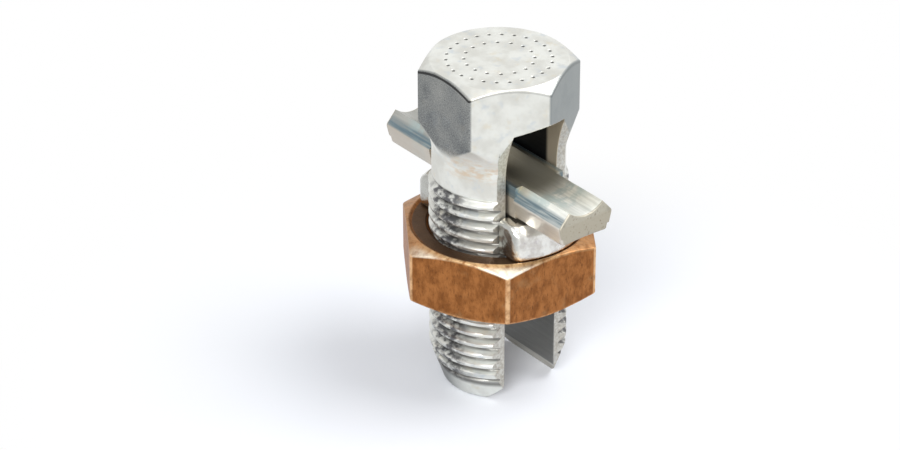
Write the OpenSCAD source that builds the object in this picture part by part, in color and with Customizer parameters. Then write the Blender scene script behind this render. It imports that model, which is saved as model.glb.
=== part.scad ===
// Split bolt connector for joining bare conductors. A hex-headed bolt is slotted from end to
// end. The conductors lie across the slot, one each side of a loose spacer bar, and a nut drives
// a pressure bar up the two legs to clamp them against the roof of the slot.
// The bolt stands on its leg ends. Its axis is Z and the conductors run along X.

/* [Bolt head] */
// Distance across the flats of the bolt's hexagonal head
head_flats = 17.46; // [17:0.02:20]
// Height of the head, from the start of the flare under it to its top face
head_h = 12.2; // [11.5:0.1:18]
// Diameter of the flat circle on top of the head
crown_d = 17.2; // [14:0.1:17.4]
// Slope of the chamfer round the top of the head, in degrees
crown_slope = 36; // [20:1:45]
// Radius of the hollow flare that joins the shank to the head
flare_r = 6.2; // [3:0.1:9]

/* [Shank and legs] */
// Length of the shank, from the leg ends to the flare under the head
shank_len = 32.7; // [31:0.1:50]
// Diameter of the plain shank above the thread
shank_d = 16.76; // [15:0.02:16.9]
// Outside diameter of the thread
thread_d = 17.54; // [17:0.02:19]
// Length of the thread, from the leg ends up
thread_len = 29; // [20:0.5:30.5]
// Distance between the flats down the two open sides of the legs
leg_flats = 12.8; // [11:0.1:15]
// Height at which the leg flats start to curve out into the head
flat_len = 31.5; // [28:0.1:33]
// Radius of that curve
runout_r = 16.5; // [10:0.5:24]
// Diameter of the flat face at the leg ends
tip_d = 14; // [12:0.1:16]
// Height of the tapered point above the leg ends
tip_h = 5; // [1:0.1:8]

/* [Slot] */
// Width of the slot that the conductors lie in
slot_w = 8; // [5:0.1:9]
// Height of the lead-in bevel where the slot opens at the leg ends
lead_in_h = 2.3; // [0.5:0.1:4]
// Width of that bevel on each leg
lead_in_w = 1.5; // [0.3:0.1:2]
// Solid depth of head above the middle of the slot
slot_cover = 8.34; // [5:0.02:9]
// Radius of the slot's roof, which curves up towards both mouths
roof_r = 17.5; // [12:0.5:60]

/* [Nut] */
// Distance across the flats of the nut
nut_flats = 23.26; // [21:0.02:28]
// Height of the nut
nut_h = 8.2; // [5:0.1:12]
// Height of the nut's lower face above the leg ends
nut_z = 14.1; // [0:0.1:16]
// Angle by which one corner of the nut stands turned from the +X axis
nut_turn = -33.7; // [-60:0.1:60]
// Diameter of the raised rim on top of the nut
rim_d = 22.6; // [20.5:0.1:23]
// Depth of the bearing face below that rim
dish_depth = 0.25; // [0.1:0.05:0.6]
// Width of the slope from the rim down to the bearing face
dish_slope_w = 0.35; // [0.2:0.05:0.8]
// Diameter of the flat ring under the nut
foot_d = 23.2; // [20:0.1:23.26]
// Slope of the chamfers on the nut's corners, in degrees
nut_slope = 23; // [15:1:35]
// Size of the chamfer at both ends of the nut's bore
bore_chamfer = 0.4; // [0.2:0.05:1]

/* [Pressure bar] */
// Length of the pressure bar, from the end of one wing to the end of the other
bar_len = 22.2; // [20:0.1:22.4]
// Width of the wings
wing_w = 10.4; // [9:0.1:13]
// Radius of the wings' outer corners
wing_corner_r = 1.6; // [0.6:0.1:3]
// Height of the pressure bar at its middle
bar_h = 5.05; // [4:0.05:7]
// Diameter of the flat pad on which the spacer bar rests
pad_d = 8; // [5:0.5:10]
// Fall of the wings from that pad to the bevel round their ends
wing_fall = 0.4; // [0.1:0.05:1.5]
// Width of the bevel round the ends of the wings
bevel_w = 1.2; // [0.4:0.05:1.6]
// Height of that bevel
bevel_h = 1.1; // [0.4:0.05:1.6]
// Chamfer along the wings' upper side edges
wing_edge = 0.4; // [0.1:0.05:0.8]
// Chamfer round the underside
under_edge = 0.4; // [0.2:0.05:0.8]

/* [Spacer bar] */
// Length of the spacer bar
spacer_len = 34.8; // [26:0.1:50]
// Distance by which the loose spacer bar lies off centre, along the slot
spacer_shift = -0.45; // [-1:0.05:1]
// Height of the spacer bar
spacer_h = 4.3; // [3:0.1:5.5]
// Width of the ears at their widest
ear_w = 8.3; // [8:0.1:10]
// Height of that widest line above the underside
ear_line_h = 2.6; // [1:0.1:2.8]
// Width of the flat underside of the ears
ear_foot_w = 7; // [4:0.1:8]
// Distance between the two rims of the channel in the top
rim_span = 5.3; // [3:0.1:6]
// Depth of the channel in the top
channel_depth = 1.05; // [0.4:0.05:1.5]
// Length of the plain waist that rides in the slot
waist_len = 16.8; // [14:0.1:20]
// Chamfer on the lower edges of the sheared ends
shear_edge = 0.7; // [0.2:0.1:1]

/* [Fits] */
// Gap on each side between the slot and what slides in it
slide_fit = 0.25; // [0.05:0.05:0.4]
// Gap between the wings of the pressure bar and the leg flats
flat_fit = 0.2; // [0.05:0.05:0.4]
// Gap all round between the thread and the bore of the nut
thread_fit = 0.06; // [0.02:0.01:0.1]

/* [Hidden] */
$fn = 96;
// How far a cutting tool runs past the face it leaves by
over = 1;

// Bolt
bolt_h = shank_len + head_h;
head_corner_r = head_flats / sqrt(3);
shank_r = shank_d / 2;
thread_r = thread_d / 2;
roof_z = bolt_h - slot_cover;
// How far the tools that cut the slot and the leg flats reach from the axis
reach = head_corner_r + over;

// Nut
nut_corner_r = nut_flats / sqrt(3);
bore_r = thread_r + thread_fit;
bearing_z = nut_z + nut_h - dish_depth;

// Pressure bar and spacer bar
guide_w = slot_w - 2 * slide_fit;
wing_root = leg_flats / 2 + flat_fit;
bar_r = bar_len / 2;
spacer_z = bearing_z + bar_h;

tin = [0.78, 0.79, 0.78];
dull_tin = [0.68, 0.70, 0.70];
bronze = [0.66, 0.40, 0.22];

// A profile in X and Z, stood up and drawn out along Y to both sides of the axis
module along_y(width) {
    rotate([90, 0, 0]) linear_extrude(width, center = true) children();
}

// A section in Y and Z, drawn out along X to both sides of the axis
module along_x(length) {
    rotate([90, 0, 90]) linear_extrude(length, center = true) children();
}

// A hexagonal bar with one corner on the +X axis
module hex_bar(flats, height) {
    cylinder(d = flats / cos(30), h = height, $fn = 6);
}

// Outline of the head's turned envelope: hollow flare below, chamfer above
module head_envelope() {
    edge = head_corner_r + over;
    difference() {
        polygon([
            [0, shank_len],
            [edge, shank_len],
            [edge, bolt_h - (edge - crown_d / 2) * tan(crown_slope)],
            [crown_d / 2, bolt_h],
            [0, bolt_h]
        ]);
        translate([shank_r + flare_r, shank_len]) circle(flare_r);
    }
}

module head() {
    intersection() {
        hex_bar(head_flats, bolt_h);
        rotate_extrude() head_envelope();
    }
}

// Tapered point, thread at its outside diameter, and plain shank
module shank() {
    rotate_extrude() polygon([
        [0, 0],
        [tip_d / 2, 0],
        [thread_r, tip_h],
        [thread_r, thread_len - (thread_r - shank_r)],
        [shank_r, thread_len],
        [shank_r, shank_len + over],
        [0, shank_len + over]
    ]);
}

// The round of solid head that sags into the top of the slot
module slot_roof() {
    translate([0, roof_z + roof_r]) circle(roof_r);
}

// The slot, open at the leg ends, where a lead-in bevel widens it
module slot() {
    half = slot_w / 2;
    flare = lead_in_w * (lead_in_h + over) / lead_in_h;
    along_y(slot_w) difference() {
        translate([-reach, -over]) square([2 * reach, roof_z + roof_r + over]);
        slot_roof();
    }
    along_x(2 * reach) polygon([
        [-half - flare, -over],
        [half + flare, -over],
        [half, lead_in_h],
        [half, lead_in_h + over],
        [-half, lead_in_h + over],
        [-half, lead_in_h]
    ]);
}

// What is cut off one open side of both legs: straight below, curving out into the head above.
// The solid head between the legs is left whole.
module leg_side_cut() {
    difference() {
        along_y(2 * reach) {
            translate([leg_flats / 2, -over]) square([reach, flat_len + over]);
            translate([leg_flats / 2 + runout_r, flat_len]) circle(runout_r);
        }
        along_y(slot_w) slot_roof();
    }
}

module bolt() {
    color(tin) difference() {
        union() {
            head();
            shank();
        }
        slot();
        leg_side_cut();
        mirror([1, 0, 0]) leg_side_cut();
    }
}

// Section of an ear of the spacer bar, in Y and Z
module ear_section() {
    polygon([
        [-ear_foot_w / 2, 0],
        [ear_foot_w / 2, 0],
        [ear_w / 2, ear_line_h],
        [rim_span / 2, spacer_h],
        [-rim_span / 2, spacer_h],
        [-ear_w / 2, ear_line_h]
    ]);
}

// The channel in the top, as the circle through both rims and its lowest point
module channel_section() {
    half = rim_span / 2;
    channel_r = (half * half + channel_depth * channel_depth) / (2 * channel_depth);
    translate([0, spacer_h - channel_depth + channel_r]) circle(channel_r);
}

// Bar with two bevelled ears, wider than the slot, and a plain waist between them
module spacer_bar() {
    ear_len = (spacer_len - waist_len) / 2;
    color(dull_tin) translate([spacer_shift, 0, spacer_z]) difference() {
        union() {
            for (side = [-1, 1])
                translate([side * (waist_len + ear_len) / 2, 0, 0]) along_x(ear_len) ear_section();
            translate([-waist_len / 2, -guide_w / 2, 0]) cube([waist_len, guide_w, spacer_h]);
        }
        along_x(spacer_len + 2 * over) channel_section();
        for (side = [-1, 1])
            translate([side * spacer_len / 2, 0, 0]) rotate([0, 45, 0])
                cube([shear_edge * sqrt(2), ear_w + over, shear_edge * sqrt(2)], center = true);
    }
}

// Turned envelope of the pressure bar: flat pad, falling wings, bevelled end, chamfered foot
module bar_envelope() {
    rotate_extrude() polygon([
        [0, 0],
        [bar_r - under_edge, 0],
        [bar_r, under_edge],
        [bar_r, bar_h - wing_fall - bevel_h],
        [bar_r - bevel_w, bar_h - wing_fall],
        [pad_d / 2, bar_h],
        [0, bar_h]
    ]);
}

// Plan of one wing, with rounded outer corners, before its end is rounded by the envelope
module wing_plan() {
    corner_x = sqrt(pow(bar_r - wing_corner_r, 2) - pow(wing_w / 2 - wing_corner_r, 2));
    corner_y = wing_w / 2 - wing_corner_r;
    translate([wing_root, -wing_w / 2]) square([corner_x - wing_root, wing_w]);
    translate([wing_root, -corner_y]) square([bar_r - wing_root, 2 * corner_y]);
    for (side = [-1, 1]) translate([corner_x, side * corner_y]) circle(wing_corner_r);
}

// Section across the wings, with both upper edges chamfered
module wing_section() {
    edge_z = bar_h - wing_fall / 2;
    polygon([
        [-wing_w / 2, 0],
        [wing_w / 2, 0],
        [wing_w / 2, edge_z - wing_edge],
        [wing_w / 2 - wing_edge, edge_z],
        [guide_w / 2, bar_h],
        [-guide_w / 2, bar_h],
        [-wing_w / 2 + wing_edge, edge_z],
        [-wing_w / 2, edge_z - wing_edge]
    ]);
}

// Web that rides in the slot, with a wing outside each leg flat that keeps it there
module pressure_bar() {
    color(tin) translate([0, 0, bearing_z]) intersection() {
        bar_envelope();
        linear_extrude(bar_h) {
            square([2 * wing_root + over, guide_w], center = true);
            for (side = [0, 1]) mirror([side, 0]) wing_plan();
        }
        along_x(bar_len) wing_section();
    }
}

// Turned envelope of the nut: bore, dished bearing face inside a rim, chamfered corners
module nut_envelope() {
    edge = nut_corner_r + over;
    face_h = nut_h - dish_depth;
    rotate_extrude() polygon([
        [bore_r + bore_chamfer, 0],
        [foot_d / 2, 0],
        [edge, (edge - foot_d / 2) * tan(nut_slope)],
        [edge, nut_h - (edge - rim_d / 2) * tan(nut_slope)],
        [rim_d / 2, nut_h],
        [rim_d / 2 - dish_slope_w, face_h],
        [bore_r + bore_chamfer, face_h],
        [bore_r, face_h - bore_chamfer],
        [bore_r, bore_chamfer]
    ]);
}

module nut() {
    color(bronze) translate([0, 0, nut_z]) intersection() {
        rotate([0, 0, nut_turn]) hex_bar(nut_flats, nut_h);
        nut_envelope();
    }
}

bolt();
spacer_bar();
pressure_bar();
nut();
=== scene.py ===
# Split bolt connector: the looks of a tin plated bolt, its bronze nut, the pressure bar that the
# nut drives and the loose spacer bar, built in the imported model's own frame.
# Shapes are worked out in millimetres and put into their meshes in metres.
import bpy
import bmesh
import math
import numpy as np
from mathutils import Matrix, Vector


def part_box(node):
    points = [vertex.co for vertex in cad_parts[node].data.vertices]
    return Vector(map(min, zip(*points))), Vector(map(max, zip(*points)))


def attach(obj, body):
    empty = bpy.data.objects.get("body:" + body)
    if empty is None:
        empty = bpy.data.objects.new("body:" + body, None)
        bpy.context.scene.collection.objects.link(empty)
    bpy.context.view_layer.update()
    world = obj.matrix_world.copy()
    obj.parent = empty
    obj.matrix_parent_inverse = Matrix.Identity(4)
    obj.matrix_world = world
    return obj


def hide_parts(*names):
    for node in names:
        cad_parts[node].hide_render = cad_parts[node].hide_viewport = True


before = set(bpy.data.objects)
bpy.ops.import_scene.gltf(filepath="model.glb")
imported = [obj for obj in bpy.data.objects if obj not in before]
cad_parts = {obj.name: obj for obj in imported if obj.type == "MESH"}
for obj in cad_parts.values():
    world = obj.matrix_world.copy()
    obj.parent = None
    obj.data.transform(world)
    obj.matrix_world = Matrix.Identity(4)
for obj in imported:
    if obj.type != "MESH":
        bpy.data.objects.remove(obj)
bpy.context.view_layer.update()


# ------------------------------------------------------------------------------- Bolt
# Forged from copper alloy with a hexagonal head that flares into the shank, and thread
# rolled. A saw then splits it into two legs, a mill takes both open sides flat, and the
# whole bolt is tin plated. The top of the head carries rings of plain punch marks.
MM = 0.001
bolt_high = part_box("bolt")[1] / MM
bolt_top = bolt_high.z
head_apothem = bolt_high.y
crown_r, crown_slope = 8.6, math.tan(math.radians(36))
shank_top, shank_r, flare_r = 32.7, 8.38, 6.2
pitch, crest_r, groove_depth = 1.528, 8.77, 0.82
thread_top, thread_fade, first_groove = 29.6, 0.9, 0.5
tip_r, tip_h = 7.0, 5.0
slot_half, roof_z, roof_r = 4.0, 36.56, 17.5
lead_in_h, lead_in_w = 2.3, 1.5
flat_x, flat_top, runout_r = 6.4, 31.5, 16.5
root_share, flank_share, root_round = 0.1, 0.66, 0.4
dent_depth, dent_r, lip_height, lip_r, lip_w = 0.16, 0.2, 0.045, 0.38, 0.12
PUNCH_RINGS = ((6.55, 26, 0.0), (4.35, 16, 0.4))


def hex_bearings(first_corner, corner_span):
    """Bearings round a hexagon in radians: even along its faces, close together at corners."""
    from_corner = np.concatenate([
        np.linspace(0, corner_span, 6, endpoint=False), np.linspace(corner_span, 30, 18)])
    side = np.concatenate([from_corner, 60 - from_corner[-2:0:-1]])
    return np.radians(first_corner + (60 * np.arange(6)[:, None] + side).ravel())


def hex_radius(bearing, apothem, first_corner, corner_r):
    """Distance from the axis to a hexagon's outline: the apothem over the cosine of the angle
    from the face's middle, and near a corner the circle that rounds it."""
    off = np.abs((bearing - math.radians(first_corner) + math.pi / 6) % (math.pi / 3) - math.pi / 6)
    centre = (apothem - corner_r) / math.cos(math.pi / 6)
    touch = math.atan2(corner_r / 2, centre + corner_r * math.cos(math.pi / 6))
    arc = centre * np.cos(off) + np.sqrt(np.maximum(corner_r ** 2 - (centre * np.sin(off)) ** 2, 0))
    return np.where(off < touch, arc, apothem / np.cos(math.pi / 6 - off))


def thread_radius(bearing, z):
    """Radius of the rolled thread: its distance from the nearest groove along the axis, in
    pitches, is turned into a flat crest, a straight flank and a narrow rounded root."""
    turn = (z - first_groove) / pitch - bearing / (2 * math.pi)
    off = 2 * np.abs(turn - np.round(turn))
    rise = np.clip((off - root_share) / flank_share, 0, 1)
    rounded = (1 - root_round) * rise + root_round * rise * rise * (3 - 2 * rise)
    return crest_r - groove_depth * (1 - rounded)


def corner_rows(before, corner, after, blend, count):
    """Rows round a profile's corner: a parabola from `blend` before it to `blend` after it."""
    def towards(point):
        run = point - corner
        length = np.linalg.norm(run, axis=-1, keepdims=True)
        return corner + run * np.minimum(blend / length, 0.48)
    start, end = towards(before), towards(after)
    t = np.linspace(0, 1, count)[:, None, None]
    return (1 - t) ** 2 * start + 2 * t * (1 - t) * corner + t ** 2 * end


def stack(r, z, bearing):
    """Radius and height at each bearing as a column of profile points."""
    r, z = np.broadcast_arrays(r, z)
    r, z = np.broadcast_arrays(r, z + 0 * bearing)
    return np.stack([r, z], axis=-1)


def turned(profile, bearing):
    """Points of a profile of (radius, height) rows, carried round the axis."""
    r, z = profile[..., 0], profile[..., 1]
    return np.stack([r * np.cos(bearing), r * np.sin(bearing), z], axis=-1)


def skin(name, grid, rows_meet=False):
    """Mesh object over a grid of points whose columns run round and meet. Its rows meet too, or
    each end row lies in a point or a line and closes the surface there."""
    rows, columns = grid.shape[:2]
    index = np.arange(rows * columns).reshape(rows, columns)
    upper = index if rows_meet else index[:-1]
    lower = np.roll(index, -1, axis=0)[:len(upper)]
    quads = np.stack([upper, lower, np.roll(lower, -1, axis=1), np.roll(upper, -1, axis=1)], -1)
    mesh = bpy.data.meshes.new(name)
    mesh.from_pydata(grid.reshape(-1, 3), [], quads.reshape(-1, 4))
    shell = bmesh.new()
    shell.from_mesh(mesh)
    bmesh.ops.remove_doubles(shell, verts=shell.verts, dist=1e-5)
    bmesh.ops.dissolve_degenerate(shell, edges=shell.edges, dist=1e-6)
    bmesh.ops.recalc_face_normals(shell, faces=shell.faces)
    shell.to_mesh(mesh)
    shell.free()
    made = bpy.data.objects.new(name, mesh)
    bpy.context.scene.collection.objects.link(made)
    return made


def bake_in(obj):
    """The mesh that the object's modifiers make, put in place of its own."""
    evaluated = obj.evaluated_get(bpy.context.evaluated_depsgraph_get())
    mesh = bpy.data.meshes.new_from_object(evaluated)
    obj.modifiers.clear()
    obj.data = mesh


def cut_out(body, tool):
    """Takes the tool's shape out of the body. Faces that it leaves carry the tool's material."""
    cut = body.modifiers.new("cut", "BOOLEAN")
    cut.operation, cut.solver, cut.object, cut.material_mode = "DIFFERENCE", "EXACT", tool, "TRANSFER"
    bake_in(body)
    bpy.data.objects.remove(tool)


def settle(obj, sharp_degrees):
    """Last step for a piece: millimetres to metres, and normals smooth up to an angle."""
    obj.data.transform(Matrix.Scale(MM, 4))
    obj.data.shade_smooth()
    obj.data.set_sharp_from_angle(angle=math.radians(sharp_degrees))
    weighted = obj.modifiers.new("even normals", "WEIGHTED_NORMAL")
    weighted.keep_sharp = True


def punched(x, y):
    """Height of the head's top over its plane: round punch marks, each with a raised lip."""
    height = np.zeros_like(x)
    for ring_r, count, turn in PUNCH_RINGS:
        at = 2 * math.pi * (np.arange(count) + turn) / count
        away = np.hypot(x[..., None] - ring_r * np.cos(at), y[..., None] - ring_r * np.sin(at))
        dent = dent_depth * np.exp(-(away / dent_r) ** 2)
        lip = lip_height * np.exp(-((away - lip_r) / lip_w) ** 2)
        height += (lip - dent).sum(-1)
    return height


bearing = hex_bearings(0, 2.2)
outline = hex_radius(bearing, head_apothem, 0, 0.32)
crest_z = bolt_top - (outline - crown_r) * crown_slope
centre_top = stack(0, bolt_top, bearing)
crown = stack(crown_r, bolt_top, bearing)
crest = stack(outline, crest_z, bearing)
disc = stack(np.linspace(0, crown_r - 0.1, 80)[:, None], bolt_top, bearing)
disc[..., 1] += punched(disc[..., 0] * np.cos(bearing), disc[..., 0] * np.sin(bearing))

# Down the faces of the head and round the flare, which meet in a soft crease
crease = shank_top + np.sqrt(flare_r ** 2 - (shank_r + flare_r - outline) ** 2)
face_top, face_low = crest_z - 0.2, crease + 0.7
face_z = np.concatenate([
    face_top + (face_low - face_top) * np.linspace(0, 1, 14)[:, None],
    face_low + (shank_top - face_low) * np.linspace(0, 1, 30)[1:, None]])
flare = shank_r + flare_r - np.sqrt(flare_r ** 2 - np.minimum(face_z - shank_top, flare_r) ** 2)
soft = np.clip(1 - np.abs(flare - outline) / 0.3, 0, 1)
side_r = np.minimum(flare, outline) - 0.075 * soft ** 2

# Down the plain shank and the thread to the tapered tip
shank_z = np.concatenate([np.linspace(shank_top, thread_top + 0.2, 10)[1:-1],
                          np.linspace(thread_top + 0.2, 1.6, 250)])[:, None]
fade = np.clip((thread_top - shank_z) / thread_fade, 0, 1)
fade = fade * fade * (3 - 2 * fade)
taper = tip_r + (crest_r - tip_r) * shank_z / tip_h
threaded = np.minimum(shank_r + (thread_radius(bearing, shank_z) - shank_r) * fade, taper)
tip_edge = stack(tip_r, 0, bearing)
tip = corner_rows(stack(tip_r + 0.5, tip_h / 4, bearing), tip_edge, stack(0, 0, bearing), 0.3, 6)
foot = stack(np.linspace(tip_r - 0.6, 0, 4)[:, None], 0, bearing)
blank = np.concatenate([
    disc, corner_rows(centre_top, crown, crest, 0.1, 5), corner_rows(crown, crest, crest - (0, 3), 0.16, 6),
    stack(side_r, face_z, bearing), stack(threaded, shank_z, bearing), tip, foot])
bolt = skin("split_bolt", turned(blank, bearing))

# The saw's slot, with its lead-in bevel below and its roof that sags in the middle
reach = 12.0
along = np.linspace(-reach, reach, 97)[:, None]
roof = roof_z + roof_r - np.sqrt(roof_r ** 2 - along ** 2)
flared = slot_half + lead_in_w * (1 + 1 / lead_in_h)
slot_y = np.array([-flared, -slot_half, -slot_half, slot_half, slot_half, flared])
slot_z = np.broadcast_to(np.array([-1, lead_in_h, 0, 0, lead_in_h, -1]), (len(along), 6)).copy()
slot_z[:, 2:4] = roof
slot = np.stack(np.broadcast_arrays(along, slot_y, slot_z), -1)
ends = [np.broadcast_to((x, 0, 0.5), slot[:1].shape) for x in (-reach, reach)]
slot_tool = skin("slot_tool", np.concatenate([ends[0], slot, ends[1]]))

# The mill's cut down both open sides of each leg, curving out into the head
swing = np.linspace(0, math.radians(48), 40)
mill_x = np.concatenate([[reach, flat_x], flat_x + runout_r * (1 - np.cos(swing)), [reach + 1]])
runout_z = flat_top + runout_r * np.sin(swing)
mill_z = np.concatenate([[-1, -1], runout_z, runout_z[-1:]])


class Shade:
    """A socket of a material while it is worked out: arithmetic on it adds Math nodes."""

    def __init__(self, finish, socket):
        self.finish, self.socket = finish, socket

    def _math(self, operation, *values):
        return self.finish.node("ShaderNodeMath", {"operation": operation}, dict(enumerate(values)))

    def __add__(self, other): return self._math("ADD", self, other)
    def __radd__(self, other): return self._math("ADD", other, self)
    def __sub__(self, other): return self._math("SUBTRACT", self, other)
    def __rsub__(self, other): return self._math("SUBTRACT", other, self)
    def __mul__(self, other): return self._math("MULTIPLY", self, other)
    def __rmul__(self, other): return self._math("MULTIPLY", other, self)
    def __truediv__(self, other): return self._math("DIVIDE", self, other)
    def __pow__(self, other): return self._math("POWER", self, other)
    def __abs__(self): return self._math("ABSOLUTE", self)

    def least(self, other): return self._math("MINIMUM", self, other)
    def most(self, other): return self._math("MAXIMUM", self, other)

    def between(self, low, high):
        """0 below low, 1 above high and smooth between; the other way round if low is above."""
        share = self.finish.node("ShaderNodeMapRange", {"interpolation_type": "SMOOTHSTEP"}, {
            "Value": self, "From Min": min(low, high), "From Max": max(low, high)})
        return share if low < high else 1 - share


class Finish:
    """A material: its nodes are made here, and its patterns are laid out in millimetres."""

    def __init__(self, name):
        self.material = bpy.data.materials.new(name)
        self.material.use_nodes = True
        self.tree = self.material.node_tree
        self.shader = self.tree.nodes["Principled BSDF"]
        place = self.node("ShaderNodeTexCoord", out="Object")
        self.place = self.node("ShaderNodeVectorMath", {"operation": "SCALE"}, {0: place, "Scale": 1 / MM})
        self.x, self.y, self.z = (
            self.node("ShaderNodeSeparateXYZ", {}, {0: self.place}, out) for out in "XYZ")

    def node(self, kind, settings=None, inputs=None, out=0):
        """Any node: its settings first, then the values or links of its sockets."""
        made = self.tree.nodes.new(kind)
        for key, value in (settings or {}).items():
            setattr(made, key, value)
        for key, value in (inputs or {}).items():
            if isinstance(value, Shade):
                self.tree.links.new(value.socket, made.inputs[key])
            else:
                made.inputs[key].default_value = value
        return Shade(self, made.outputs[out])

    def from_axis(self):
        """Distance from the upright axis in millimetres."""
        return (self.x * self.x + self.y * self.y) ** 0.5

    def noise(self, size, detail=3.0, stretch=(1, 1, 1), shift=0.0, rough=0.55):
        """Cloudy pattern from 0 to 1 with features of about `size` millimetres."""
        spot = self.node("ShaderNodeMapping", {}, {
            "Vector": self.place, "Location": (shift, shift, shift), "Scale": stretch})
        return self.node("ShaderNodeTexNoise", {}, {
            "Vector": spot, "Scale": 1 / size, "Detail": detail, "Roughness": rough})

    def mix(self, under, over, mask):
        """One colour over another by a mask."""
        made = self.tree.nodes.new("ShaderNodeMix")
        made.data_type = "RGBA"
        for key, value in ((0, mask), (6, under), (7, over)):
            if isinstance(value, Shade):
                self.tree.links.new(value.socket, made.inputs[key])
            else:
                made.inputs[key].default_value = value if key == 0 else (*value, 1)
        return Shade(self, made.outputs[2])

    def bump(self, height, depth, normal=None):
        """Relief of `depth` millimetres where the height goes from 0 to 1."""
        inputs = {"Height": height, "Distance": depth * MM, "Strength": 1.0}
        if normal is not None:
            inputs["Normal"] = normal
        return self.node("ShaderNodeBump", {}, inputs)

    def surface(self, **sockets):
        """Feeds the shader's own sockets, named with _ for each space."""
        for name, value in sockets.items():
            socket = self.shader.inputs[name.replace("_", " ")]
            if isinstance(value, Shade):
                self.tree.links.new(value.socket, socket)
            else:
                socket.default_value = value


def tin_coat(name):
    """Tin over copper alloy: cloudy grey with a faint blue and yellow cast."""
    tin = Finish(name)
    cloud = tin.noise(3.2, 3)
    colour = tin.mix((0.64, 0.64, 0.60), (0.76, 0.77, 0.735), cloud.between(0.35, 0.65))
    blue = tin.noise(1.7, 2, shift=13).between(0.55, 0.75)
    colour = tin.mix(colour, (0.50, 0.56, 0.62), blue * 0.5)
    yellow = tin.noise(2.3, 3, shift=47).between(0.58, 0.72)
    colour = tin.mix(colour, (0.66, 0.58, 0.42), yellow * 0.35)
    return tin, colour, cloud, tin.noise(0.16, 4, shift=7)


def tin_plate(name):
    """Tin on the forged and rolled faces: a fine grain, painted shade on the left and right faces
    of the head, on its crest, in its punch marks, in the thread's grooves and on one side of the
    tip, painted dark reflections on the side of the near leg, and copper that shows faintly
    through the tin of the neck."""
    tin, colour, cloud, grain = tin_coat(name)
    radius = tin.from_axis()
    below_top = bolt_top - tin.z
    below_crest = below_top - crown_slope * (radius - crown_r)
    above_neck = tin.z - shank_top
    # 1 on the side towards this bearing, -1 on the far side
    side = (tin.x * 0.9 + tin.y * -0.45) / radius

    # Painted shade: the head's left face is darkened to a grainy dark grey.
    left_face = (head_apothem + tin.y).between(0.38, 0.11)
    left_face_shade = left_face * above_neck.between(0.8, 2.8) * below_crest.between(-0.05, 0.02)
    grainy = 0.80 + 0.9 * (grain - 0.5) + 0.6 * (cloud - 0.5)
    colour = tin.mix(colour, (0.125, 0.135, 0.14), (left_face_shade * grainy).least(0.97))
    # Painted shade: the head's right face is greyed to a mid blue-grey.
    right_face = (head_apothem - (tin.x * 0.866 + tin.y * 0.5)).between(0.33, 0.08)
    right_face_shade = right_face * above_neck.between(1.8, 3.8) * (0.95 + 0.3 * (cloud - 0.5))
    colour = tin.mix(colour, (0.27, 0.295, 0.30), right_face_shade.least(1))

    on_thread = (thread_top - tin.z).between(0, 0.6) * tin.z.between(2.0, 2.7)
    # Painted reflection: dark mottled patches on one side of the near leg's thread.
    reflection_mottle = tin.noise(1.0, 4, stretch=(1, 1, 1.5), shift=19).between(0.37, 0.60)
    near_leg_dark_reflection = on_thread * side.between(-0.1, 0.25) * side.between(0.86, 0.6) * reflection_mottle
    colour = tin.mix(colour, (0.06, 0.06, 0.07), near_leg_dark_reflection * 0.9)
    # Painted shade: a dark line just under the head's crest, strongest on the left face.
    crest_shade_line = below_crest.between(-0.02, 0.05) * below_crest.between(0.36, 0.24)
    crest_shade_line = crest_shade_line * radius.between(crown_r, crown_r + 0.1)
    colour = tin.mix(colour, (0.03, 0.03, 0.03), crest_shade_line * (0.25 + 0.7 * left_face))
    # Painted shade in the punch marks: their dents on the head's top are darkened nearly to black.
    punch_shade = below_top.between(0.015, 0.07) * below_top.between(0.9, 0.6) * radius.between(8.3, 8.1)
    colour = tin.mix(colour, (0.05, 0.05, 0.05), punch_shade * 0.9)
    # Painted shade in the thread's grooves.
    groove = on_thread * radius.between(8.3, 7.95)
    colour = tin.mix(colour, (0.07, 0.065, 0.06), groove * 0.75)
    # Painted shade on one side of the tip.
    tip_shade = tin.z.between(3.0, 2.2) * side.between(0.8, 0.2) * side.between(-0.9, -0.5)
    colour = tin.mix(colour, (0.17, 0.18, 0.18), tip_shade * 0.9)
    worn = tin.noise(1.2, 4, stretch=(1, 1, 2.4), shift=23).between(0.38, 0.68)
    neck = above_neck.between(-1.5, 0.3) * above_neck.between(3.3, 0.9) * side.between(0.3, 0.8)
    colour = tin.mix(colour, (0.62, 0.46, 0.30), worn * neck * 0.7)
    # Dark specks within the painted shade of the left face.
    speck = tin.noise(0.3, 3, shift=31).between(0.62, 0.72)
    colour = tin.mix(colour, (0.10, 0.10, 0.11), speck * left_face_shade * 0.7)

    brushed = tin.noise(0.22, 2, stretch=(0.12, 0.12, 1), shift=5)
    relief = tin.bump(brushed, 0.012, tin.bump(grain, 0.012, tin.bump(cloud, 0.05)))
    rough = 0.34 + grain * 0.18 + left_face_shade * 0.2
    tin.surface(Base_Color=colour, Metallic=0.88, Roughness=rough, Normal=relief)
    return tin.material


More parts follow.
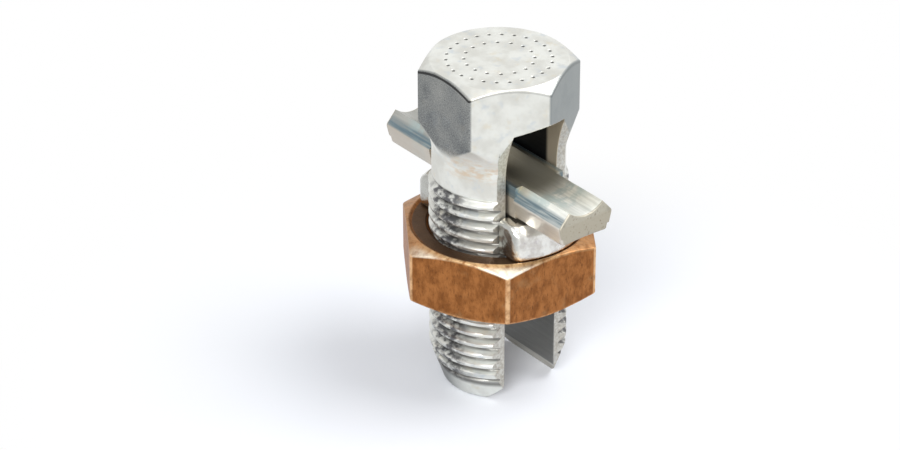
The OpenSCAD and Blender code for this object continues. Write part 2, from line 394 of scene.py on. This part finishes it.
def sawn_tin(name):
    """Tin on the cut faces: thin lines along the saw's stroke, painted shade that darkens the wall
    inside the slot, which is browner near its roof, and a near-black painted shadow in the middle of it."""
    tin, colour, _, grain = tin_coat(name)
    line = tin.noise(0.35, 2, stretch=(0.06, 1, 1), shift=3)
    colour = tin.mix(colour, (0.36, 0.33, 0.28), 0.35 + 0.5 * line.between(0.3, 0.7))
    # Painted shade: the wall inside the slot is darkened.
    wall = (abs(tin.y) - slot_half).between(0.12, 0.02)
    colour = tin.mix(colour, (0.25, 0.255, 0.25), wall * (0.8 + 0.2 * line))
    colour = tin.mix(colour, (0.66, 0.58, 0.46), wall * tin.z.between(27, 30))
    # Painted shadow: near black in the middle of the slot's wall, below its roof.
    slot_shadow = wall * tin.z.between(29, 31) * abs(tin.x).between(4.9, 4.2)
    colour = tin.mix(colour, (0.012, 0.012, 0.013), slot_shadow)
    rough = 0.42 + grain * 0.15
    tin.surface(Base_Color=colour, Metallic=0.88, Roughness=rough, Normal=tin.bump(line, 0.03))
    return tin.material


plated, sawn = tin_plate("tin_plate"), sawn_tin("sawn_tin")
bolt.data.materials.append(plated)
bolt.data.materials.append(sawn)
slot_tool.data.materials.append(sawn)
cut_out(bolt, slot_tool)
for x_side, y_side in ((1, 1), (1, -1), (-1, 1), (-1, -1)):
    loop = np.stack([x_side * mill_x, 0 * mill_x, mill_z], -1)
    walls = [loop + (0, y_side * y, 0) for y in (slot_half - 0.1, reach)]
    hubs = [np.broadcast_to((x_side * 11.5, y_side * y, 10), wall.shape)
            for wall, y in zip(walls, (slot_half - 0.1, reach))]
    mill_tool = skin("mill_tool", np.stack([hubs[0], walls[0], walls[1], hubs[1]]))
    mill_tool.data.materials.append(sawn)
    cut_out(bolt, mill_tool)


def ease_cut_edges(body, plain_above, width):
    """Rounds the edges that the cuts left, except along the thread, where they stay sharp."""
    shell = bmesh.new()
    shell.from_mesh(body.data)
    weight = shell.edges.layers.float.new("bevel_weight_edge")
    for edge in shell.edges:
        if len(edge.link_faces) == 2 and edge.calc_face_angle() > math.radians(20):
            cuts = sum(face.material_index for face in edge.link_faces)
            z = sum(vert.co.z for vert in edge.verts) / 2
            edge[weight] = cuts == 2 or cuts == 1 and z > plain_above
    shell.to_mesh(body.data)
    shell.free()
    bevel = body.modifiers.new("ease", "BEVEL")
    bevel.limit_method, bevel.width, bevel.segments = "WEIGHT", width, 2
    bevel.use_clamp_overlap, bevel.loop_slide = False, False
    bake_in(body)


ease_cut_edges(bolt, thread_top + 0.9, 0.11)
settle(bolt, 34)
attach(bolt, "bolt")
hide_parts("bolt")


# -------------------------------------------------------------------------------- Nut
# Machined from silicon bronze bar: chamfered corners, a dished bearing face inside a
# narrow rim, and a tapped bore that rides on the thread of both legs. Left bare, so its
# flats have browned and its corners are rubbed, with a painted highlight on the corners and the front
# chamfer.
nut_low, nut_high = (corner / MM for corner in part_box("nut"))
nut_bottom, nut_top = nut_low.z, nut_high.z
nut_apothem, nut_corner, nut_slope = 11.63, -33.7, math.tan(math.radians(23))
rim_r, dish_r, dish_depth, foot_r = 11.3, 10.95, 0.25, 11.6
tap_gap, bore_r, bore_chamfer = 0.08, 8.83, 0.4

bearing = hex_bearings(nut_corner, 2.4)
outline = hex_radius(bearing, nut_apothem, nut_corner, 0.4)
seat = nut_top - dish_depth


def ring(r, z):
    return stack(r, z, bearing)


lip, slope_foot = ring(rim_r, nut_top), ring(dish_r, seat)
upper = ring(outline, nut_top - (outline - rim_r) * nut_slope)
lower = ring(outline, nut_bottom + np.maximum(outline - foot_r, 0) * nut_slope)
heel = ring(foot_r, nut_bottom)
face_rows = np.linspace(0, 1, 14)[1:-1, None, None]
bore_z = np.linspace(nut_bottom, seat, 84)[:, None]
opening = np.minimum(bore_z - nut_bottom, seat - bore_z)
bore = np.maximum(thread_radius(bearing, bore_z) + tap_gap, bore_r + bore_chamfer - opening)
nut_profile = np.concatenate([
    stack(np.linspace(bore_r + bore_chamfer + 0.1, dish_r - 0.1, 10)[:, None], seat, bearing),
    corner_rows(ring(bore_r, seat), slope_foot, lip, 0.08, 4), corner_rows(slope_foot, lip, upper, 0.14, 5),
    corner_rows(lip, upper, lower, 0.2, 6), upper + (lower - upper) * face_rows,
    corner_rows(upper, lower, heel, 0.2, 6), corner_rows(lower, heel, ring(bore_r, nut_bottom), 0.02, 2),
    stack(np.linspace(foot_r - 0.2, bore_r + bore_chamfer + 0.1, 8)[:, None], nut_bottom, bearing),
    stack(bore, bore_z, bearing)])
nut = skin("bronze_nut", turned(nut_profile, bearing), rows_meet=True)

bronze = Finish("browned_bronze")
radius = bronze.from_axis()
cloud = bronze.noise(1.1, 5, stretch=(1, 1, 0.6), shift=3, rough=0.65)
grain = bronze.noise(0.22, 4, stretch=(1, 1, 0.4), shift=17)
colour = bronze.mix((0.23, 0.082, 0.021), (0.39, 0.155, 0.046), cloud.between(0.34, 0.66))
pale = bronze.noise(2.6, 3, shift=41).between(0.55, 0.75)
colour = bronze.mix(colour, (0.33, 0.19, 0.085), pale * 0.5)
colour = bronze.mix(colour, (0.10, 0.036, 0.012), grain.between(0.52, 0.75) * 0.6)

# Rubbed bright on its chamfers, with painted highlight on the chamfer at the front corner and along its
# corners
below_top, above_foot = nut_top - bronze.z, bronze.z - nut_bottom
upper_chamfer = ((radius - rim_r) * nut_slope - below_top).between(-0.35, -0.1)
lower_chamfer = ((radius - foot_r) * nut_slope - above_foot).between(-0.3, -0.08)
rub = bronze.noise(0.7, 4, shift=29).between(0.30, 0.62)
front_corner = ((bronze.x - bronze.y) / radius).between(0.75, 1.3)
# Rubbed wear on the upper chamfer, stronger towards the front corner as painted highlight.
past_rim = upper_chamfer * (radius - rim_r).between(-0.2, 0.05)
colour = bronze.mix(colour, (0.70, 0.47, 0.25), past_rim * (0.12 + (0.2 + 0.6 * front_corner) * rub))
# Painted highlight: the chamfer at the front corner goes near white.
front_chamfer_highlight = upper_chamfer * front_corner * (radius - rim_r).between(0.3, 1.2)
colour = bronze.mix(colour, (1.0, 0.95, 0.82), front_chamfer_highlight * (0.6 + 0.4 * rub))
colour = bronze.mix(colour, (0.75, 0.42, 0.20), lower_chamfer * rub * 0.6)
# Painted highlight with rubbed wear: a thin bright stripe along each corner.
corner_rub_and_highlight = radius.between(13.2, 13.33) * (0.4 + 0.6 * rub)
colour = bronze.mix(colour, (0.85, 0.55, 0.30), corner_rub_and_highlight * 0.8)
# Painted shade in the dish around the foot of the pressure bar.
dish = (dish_r - radius).between(-0.05, 0.15) * below_top.between(0.5, 0.35)
colour = bronze.mix(colour, (0.085, 0.052, 0.03), dish * 0.9)
bronze.surface(
    Base_Color=colour, Metallic=0.9, Roughness=0.36 + grain * 0.2 - upper_chamfer * 0.08,
    Normal=bronze.bump(grain, 0.02, bronze.bump(cloud, 0.06)))
nut.data.materials.append(bronze.material)
settle(nut, 34)
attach(nut, "nut")
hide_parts("nut")


# ----------------------------------------------------------------------- Pressure bar
# Struck from copper alloy and bright tin plated. Its web rides in the slot, its two wings
# stand outside the legs' flats, and its underside seats in the dish of the nut.
bar_low, bar_high = (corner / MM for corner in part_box("pressure_bar"))
bar_h, bar_r = bar_high.z - bar_low.z, bar_high.x
web_half, wing_half, wing_root, corner_r = 3.75, 5.2, 6.6, 1.6
pad_r, wing_fall, bevel_w, bevel_h = 4.0, 0.4, 1.2, 1.1
upper_ease, lower_ease = 0.55, 0.45


def wing_half_width(x):
    """Half the width of the bar at a distance from the axis: the web, then the wing's straight
    side, the circle of its corner, and the end arc about the axis."""
    corner_y = wing_half - corner_r
    corner_x = math.sqrt((bar_r - corner_r) ** 2 - corner_y ** 2)
    tangent_x = corner_x * bar_r / (bar_r - corner_r)
    corner = corner_y + np.sqrt(np.maximum(corner_r ** 2 - np.maximum(x - corner_x, 0) ** 2, 0))
    end = np.sqrt(np.maximum(bar_r ** 2 - x ** 2, 0))
    return np.where(x < wing_root, web_half, np.where(x < tangent_x, corner, end))


def eased(inset, ease):
    """Drop of a rounded edge at a distance in from the outline: a quarter circle."""
    return ease - np.sqrt(np.maximum(ease ** 2 - np.clip(ease - inset, 0, ease) ** 2, 0))


wing_x = wing_root + (bar_r - wing_root) * np.sin(np.linspace(0, math.pi / 2, 44))
half_x = np.concatenate([np.linspace(0, wing_root - 0.001, 12), wing_x])
half_w = np.concatenate([np.full(12, web_half), np.maximum(wing_half_width(wing_x), 0)])
half_w[12] = wing_half
bar_x = np.concatenate([-half_x[::-1], half_x[1:]])[:, None]
bar_w = np.concatenate([half_w[::-1], half_w[1:]])[:, None]
across = np.sin(np.linspace(-math.pi / 2, math.pi / 2, 41))
climb = np.linspace(0, 1, 8)[1:-1]
y_share = np.concatenate([across, np.ones(6), across[::-1], -np.ones(6)])
z_share = np.concatenate([np.ones(41), 1 - climb, np.zeros(41), climb])
bar_y = bar_w * y_share
from_axis = np.hypot(bar_x, bar_y)
inset = np.minimum(np.maximum(bar_w - np.abs(bar_y), 0), np.maximum(bar_r - from_axis, 0))
fall = wing_fall * np.clip((from_axis - pad_r) / (bar_r - bevel_w - pad_r), 0, 1)
end_bevel = bevel_h * np.clip((from_axis - bar_r + bevel_w) / bevel_w, 0, 1)
upper_z = bar_low.z + bar_h - fall - end_bevel - eased(inset, upper_ease)
lower_z = bar_low.z + eased(inset, lower_ease)
bar_z = lower_z + (upper_z - lower_z) * z_share
bar_grid = np.stack(np.broadcast_arrays(bar_x, bar_y, bar_z), -1)
pressure_bar = skin("winged_pressure_bar", bar_grid)

bright = Finish("bright_tin")
cloud, grain = bright.noise(1.4, 3, shift=11), bright.noise(0.25, 3, shift=2)
colour = bright.mix((0.62, 0.60, 0.57), (0.80, 0.80, 0.77), cloud.between(0.35, 0.6))
violet = bright.noise(0.8, 3, shift=51).between(0.58, 0.75)
colour = bright.mix(colour, (0.42, 0.36, 0.42), violet * 0.5)
# Painted shade: the bar's left flank is darkened.
left_flank_shade = (wing_half + bright.y).between(0.6, 0.1)
colour = bright.mix(colour, (0.16, 0.17, 0.15), left_flank_shade * 0.5)
bright.surface(
    Base_Color=colour, Metallic=1.0, Roughness=0.16 + grain * 0.14,
    Normal=bright.bump(cloud, 0.12, bright.bump(grain, 0.008)))
pressure_bar.data.materials.append(bright.material)
settle(pressure_bar, 40)
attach(pressure_bar, "clamp")
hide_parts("pressure_bar")


# ------------------------------------------------------------------------- Spacer bar
# Cropped from drawn copper alloy bar with a channel along its top, waisted where it rides
# in the slot, and tin plated. Its ends are rough from the shear. It lies loose.
spacer_low, spacer_high = (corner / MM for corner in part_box("spacer_bar"))
spacer_z, spacer_h = spacer_low.z, spacer_high.z - spacer_low.z
spacer_mid = (spacer_low.x + spacer_high.x) / 2
core = spacer_h / 2
EAR = ((0.0, -1.0, core), (0.970, -0.2425, 3.916), (0.750, 0.6617, 3.410), (0.0, 1.0, core + 0.35))
WAIST = ((0.0, -1.0, core), (1.0, 0.0, 3.75), (0.0, 1.0, core))
channel_r, channel_up = 3.869, 4.969


def section_radius(angle, planes, crispness):
    """Distance from the bar's core line to its section's outline: the nearest of the planes and
    of the channel's circle along each ray, blended by a power mean that rounds the edges."""
    side, up = np.abs(np.cos(angle)), np.sin(angle)
    total = sum(np.maximum(side * n_side + up * n_up, 1e-3) ** crispness * away ** -crispness
                for n_side, n_up, away in planes)
    across_ray = channel_up * up
    inside = across_ray ** 2 - channel_up ** 2 + channel_r ** 2
    to_channel = np.where((inside > 0) & (up > 0), across_ray - np.sqrt(np.maximum(inside, 0)), 1e3)
    return (total + to_channel ** -float(crispness)) ** (-1 / crispness)


angle = np.radians(np.linspace(-90, 90, 85))
angle = np.concatenate([angle, math.pi - angle[-2:0:-1]])
ear_r, waist_r = section_radius(angle, EAR, 44), section_radius(angle, WAIST, 60)
half_len, waist_half = (spacer_high.x - spacer_low.x) / 2, 8.4
stations = np.concatenate([[-waist_half], np.linspace(-waist_half, waist_half, 20), [waist_half]])
ear_run = np.linspace(waist_half, half_len - 0.7, 40)[1:]
crop = np.radians(np.linspace(0, 90, 8))[1:]
end_ease = np.where(np.sin(angle) < -0.3, 0.7, 0.22)
rows_x = [np.full_like(angle, x) for x in ear_run]
rows_r = [ear_r] * len(ear_run)
for swing_at in crop:
    rows_x.append(half_len - end_ease + end_ease * np.sin(swing_at))
    rows_r.append(ear_r - end_ease * (1 - np.cos(swing_at)))
for share in np.linspace(1, 0, 12)[1:]:
    rows_x.append(np.full_like(angle, half_len))
    rows_r.append((ear_r - end_ease) * share)
right_x, right_r = np.array(rows_x), np.array(rows_r)
middle_x = np.broadcast_to(stations[:, None], (len(stations), len(angle)))
middle_r = np.array([ear_r] + [waist_r] * 20 + [ear_r])
spacer_x = np.concatenate([-right_x[::-1], middle_x, right_x])
spacer_r = np.concatenate([right_r[::-1], middle_r, right_r])
spacer_grid = np.stack([
    spacer_mid + spacer_x, spacer_r * np.cos(angle), spacer_z + core + spacer_r * np.sin(angle)], -1)
spacer = skin("spacer_bar_channelled", spacer_grid)

drawn = Finish("drawn_tin")
streak = drawn.noise(0.3, 3, stretch=(0.05, 1, 1), shift=9)
cloud, grain = drawn.noise(2.4, 3, stretch=(0.5, 1, 1), shift=21), drawn.noise(0.2, 4, shift=33)
colour = drawn.mix((0.74, 0.75, 0.70), (0.97, 0.98, 0.93), (cloud * 0.5 + streak * 0.5).between(0.38, 0.62))
from_middle = abs(drawn.x)
# Painted shade on the part of the bar that lies inside the slot.
in_slot_shade = from_middle.between(12.0, 7.5)
colour = drawn.mix(colour, (0.30, 0.28, 0.215), in_slot_shade * 0.9)
# Painted shade: the far end of the bar is darkened.
far_end_shade = drawn.x.between(-9, -11)
colour = drawn.mix(colour, (0.25, 0.25, 0.23), far_end_shade * 0.75)
# Painted reflection: a blue-green tint on the top towards each end.
teal_reflection = from_middle.between(8.5, 11.0) * from_middle.between(15.5, 12.5)
teal_reflection = teal_reflection * drawn.noise(1.6, 3, shift=37).between(0.4, 0.62)
colour = drawn.mix(colour, (0.40, 0.52, 0.52), teal_reflection * 0.6)
from_side = abs(drawn.y)
# Painted reflection: a dark blue band on the bevel along each side.
bevel_face = from_side.between(2.7, 2.95) * drawn.z.between(29.65, 29.85)
bevel_reflection_band = bevel_face * from_side.between(3.0, 3.5) * (0.5 + 0.5 * streak.between(0.35, 0.65))
colour = drawn.mix(colour, (0.14, 0.20, 0.235), bevel_reflection_band)
low_face = drawn.z.between(29.9, 29.6)
colour = drawn.mix(colour, (0.56, 0.50, 0.43), low_face * 0.7)
end_face = (half_len - abs(drawn.x - spacer_mid)).between(0.35, 0.1)
colour = drawn.mix(colour, (0.40, 0.37, 0.295), end_face * 0.85)
torn = end_face * drawn.noise(0.35, 4, shift=61).between(0.58, 0.7)
colour = drawn.mix(colour, (0.22, 0.18, 0.13), torn * 0.7)
drawn.surface(
    Base_Color=colour, Metallic=0.88, Roughness=0.30 + grain * 0.16 + end_face * 0.2,
    Normal=drawn.bump(streak, 0.02, drawn.bump(grain, 0.012)))
spacer.data.materials.append(drawn.material)
settle(spacer, 38)
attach(spacer, "clamp")
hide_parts("spacer_bar")


# ----------------------------------------------------------------- Studio and camera
# A white paper floor that keeps the shadow near the part and fades to plain white further off,
# a large soft lamp overhead on the right, a smaller one in front, and an even white sky.
paper_half, paper_drop = 2.0, 3e-5
paper_corners = [(x * paper_half, y * paper_half, -paper_drop)
                 for x, y in ((-1, -1), (1, -1), (1, 1), (-1, 1))]
floor = bpy.data.objects.new("floor", bpy.data.meshes.new("floor"))
floor.data.from_pydata(paper_corners, [], [(0, 1, 2, 3)])
bpy.context.scene.collection.objects.link(floor)
paper = Finish("white_paper")
paper.surface(Base_Color=(0.74, 0.77, 0.83, 1), Roughness=0.9, Specular_IOR_Level=0.1)
seen = paper.node("ShaderNodeLightPath", out="Is Camera Ray")
for kind in ("Is Glossy Ray", "Is Transmission Ray"):
    seen = seen.most(paper.node("ShaderNodeLightPath", out=kind))
far_off = paper.from_axis().between(24, 64)
glow = paper.node("ShaderNodeEmission", {}, {"Color": (1, 1, 1, 1), "Strength": 1.0})
lit = Shade(paper, paper.shader.outputs[0])
both = paper.node("ShaderNodeMixShader", {}, {0: seen * (0.1 + 0.9 * far_off), 1: lit, 2: glow})
paper.tree.links.new(both.socket, paper.tree.nodes["Material Output"].inputs["Surface"])
floor.data.materials.append(paper.material)

camera = bpy.data.objects.new("camera", bpy.data.cameras.new("camera"))
bpy.context.scene.collection.objects.link(camera)
aim_round, aim_down, roll = (math.radians(a) for a in (52.035, 29.693, -0.166))
right = Vector((math.cos(aim_round), math.sin(aim_round), 0))
level_run = math.cos(aim_down)
back = Vector((math.sin(aim_round) * level_run, -math.cos(aim_round) * level_run, math.sin(aim_down)))
turn = Matrix((right, back.cross(right), back)).transposed().to_4x4() @ Matrix.Rotation(roll, 4, "Z")
camera.matrix_world = Matrix.Translation((0.27188, -0.21986, 0.22076)) @ turn
camera.data.lens, camera.data.sensor_width = 127.907, 36
camera.data.clip_start = 0.01
bpy.context.scene.camera = camera


def lamp(name, place, size, watts, tint):
    """A square soft lamp that points at the middle of the part's foot."""
    towards = Vector((0, 0, 0.02))
    light = bpy.data.lights.new(name, "AREA")
    light.shape, light.size = "SQUARE", size
    light.energy, light.color = watts, tint
    made = bpy.data.objects.new(name, light)
    bpy.context.scene.collection.objects.link(made)
    made.location = place
    made.rotation_euler = (Vector(place) - towards).to_track_quat("Z", "Y").to_euler()


lamp("key", (0.34, 0.40, 0.85), 0.6, 6.6, (1, 0.985, 0.96))
lamp("front", (0.32, -0.42, 0.35), 0.26, 3.1, (1, 0.99, 0.97))
world = bpy.data.worlds.new("studio")
bpy.context.scene.world = world
world.use_nodes = True
sky = world.node_tree
path = sky.nodes.new("ShaderNodeLightPath")
seen = path.outputs["Is Camera Ray"]
for kind in ("Is Glossy Ray", "Is Transmission Ray"):
    either = sky.nodes.new("ShaderNodeMath")
    either.operation = "MAXIMUM"
    sky.links.new(seen, either.inputs[0])
    sky.links.new(path.outputs[kind], either.inputs[1])
    seen = either.outputs[0]
level = sky.nodes.new("ShaderNodeMapRange")
level.inputs["To Min"].default_value = 0.5
sky.links.new(seen, level.inputs["Value"])
sky.links.new(level.outputs[0], sky.nodes["Background"].inputs["Strength"])
sky.nodes["Background"].inputs["Color"].default_value = (1, 1, 1, 1)
bpy.context.scene.view_settings.view_transform = "Standard"
